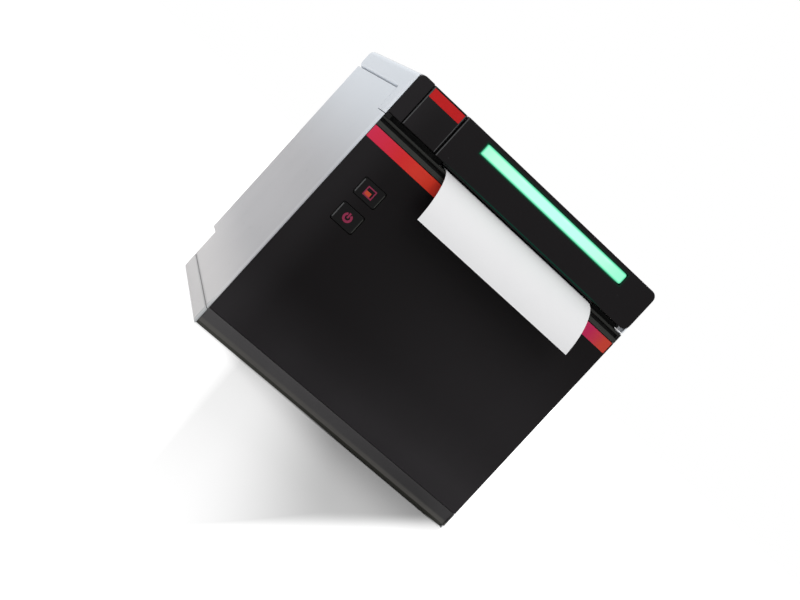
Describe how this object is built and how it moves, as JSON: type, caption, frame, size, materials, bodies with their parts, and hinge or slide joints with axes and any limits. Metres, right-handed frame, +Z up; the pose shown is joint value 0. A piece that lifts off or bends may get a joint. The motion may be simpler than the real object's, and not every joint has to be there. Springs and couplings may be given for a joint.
{
  "type": "countertop queue ticket printer",
  "caption": "Cube-shaped countertop ticket printer with a hinged lid, front paper slot, light bar, lid release and side keys, on feet.",
  "frame": {"origin": "centre of the bounding box at the counter surface under the feet", "axes": "+X to the right seen from the front, +Y from the front face to the back, +Z up"},
  "size_m": [0.131, 0.137, 0.1272],
  "materials": {
    "silver_plastic": "fine satin texture",
    "black_satin": "fine spark-eroded satin",
    "dark_grey": "satin",
    "inner_black": "moulded, semi-matte",
    "red_stripe": "gloss insert",
    "icon_red": "printed insert",
    "light_green": "lit diffuser",
    "black_metal": "powder coat",
    "steel": "zinc plated",
    "motor_can": "drawn can",
    "aluminium": "extruded",
    "head_ceramic": "glazed line",
    "roller_rubber": "ground matte",
    "foot_rubber": "moulded matte",
    "board_green": "solder mask",
    "board_white": "white solder mask",
    "part_black": "moulded",
    "port_metal": "nickel plated",
    "brass": "turned",
    "paper": "coated thermal paper",
    "card": "wound board",
    "gear_plastic": "acetal"
  },
  "bodies": {
    "base": {"bottom_plate": "black_metal", "rubber_feet": "foot_rubber", "base_tray": "silver_plastic", "base_screws": "steel", "front_trim": "dark_grey", "left_side_panel": "silver_plastic", "right_side_panel": "silver_plastic", "left_frame_plate": "steel", "right_frame_plate": "steel", "rear_panel": "silver_plastic", "hinge_ears": "silver_plastic", "front_panel": "black_satin", "front_stripe": "red_stripe", "lower_lip": "dark_grey", "button_board": "board_green", "thermal_head": "head_ceramic", "head_heatsink": "aluminium", "head_springs": "steel", "head_bracket": "steel", "cutter_frame": "inner_black", "cutter_drive": "inner_black", "feed_motor": "motor_can", "paper_guide": "inner_black", "paper_bin": "inner_black", "paper_web": "paper", "ticket_paper": "paper", "main_board": "board_green", "board_standoffs": "brass", "board_parts": "part_black", "usb_port": "port_metal", "lan_port": "port_metal", "drawer_port": "part_black", "power_jack": "part_black", "port_plate": "dark_grey"},
    "cover": {"top_cover": "silver_plastic", "hinge_pins": "steel", "cover_front": "black_satin", "cover_cheek": "black_satin", "light_bar": "light_green", "light_board": "board_white", "cover_liner": "inner_black", "fixed_blade": "black_metal", "platen_bushes": "brass"},
    "platen": {"platen_roller": "roller_rubber", "platen_shaft": "steel", "platen_gear": "gear_plastic"},
    "idler": {"idler_gear": "gear_plastic"},
    "pinion": {"motor_shaft": "steel", "motor_pinion": "gear_plastic"},
    "release": {"release_button": "black_satin", "release_stripe": "red_stripe"},
    "latch": {"latch_bar": "inner_black"},
    "power_key": {"power_button": "black_satin", "power_icon": "icon_red"},
    "feed_key": {"feed_button": "black_satin", "feed_icon": "icon_red"},
    "blade": {"cutter_blade": "steel"},
    "roll": {"paper_roll": "paper", "roll_core": "card"}
  },
  "joints": [
    {"name": "cover_hinge", "type": "hinge", "parent": "base", "child": "cover", "pos_m": [0, 0.0655, 0.1205], "axis": [-1, 0, 0], "range_deg": [0, 90]},
    {"name": "platen_spin", "type": "hinge", "parent": "cover", "child": "platen", "pos_m": [0, -0.0355, 0.1134], "axis": [1, 0, 0], "continuous": true},
    {"name": "idler_spin", "type": "hinge", "parent": "base", "child": "idler", "pos_m": [0, -0.0355, 0.09248], "axis": [1, 0, 0], "continuous": true},
    {"name": "pinion_spin", "type": "hinge", "parent": "base", "child": "pinion", "pos_m": [0, -0.0275, 0.07848], "axis": [1, 0, 0], "continuous": true},
    {"name": "release_press", "type": "slide", "parent": "cover", "child": "release", "axis": [0, 1, 0], "range_m": [0, 0.002], "stiffness_N_per_m": 300},
    {"name": "latch_turn", "type": "hinge", "parent": "cover", "child": "latch", "pos_m": [0, -0.0215, 0.112], "axis": [1, 0, 0], "range_deg": [-17.5, 0]},
    {"name": "power_press", "type": "slide", "parent": "base", "child": "power_key", "axis": [0, 1, 0], "range_m": [0, 0.0008], "stiffness_N_per_m": 800},
    {"name": "feed_press", "type": "slide", "parent": "base", "child": "feed_key", "axis": [0, 1, 0], "range_m": [0, 0.0008], "stiffness_N_per_m": 800},
    {"name": "cutter_stroke", "type": "slide", "parent": "base", "child": "blade", "axis": [0, 0, 1], "range_m": [0, 0.0034]},
    {"name": "roll_spin", "type": "hinge", "parent": "base", "child": "roll", "pos_m": [0, 0.029, 0.0703], "axis": [1, 0, 0], "continuous": true}
  ],
  "couplings": [
    {"joint": "idler_spin", "follows": "platen_spin", "ratio": -0.85714},
    {"joint": "pinion_spin", "follows": "platen_spin", "ratio": 2},
    {"joint": "latch_turn", "follows": "release_press", "rad_per_m": -150}
  ]
}
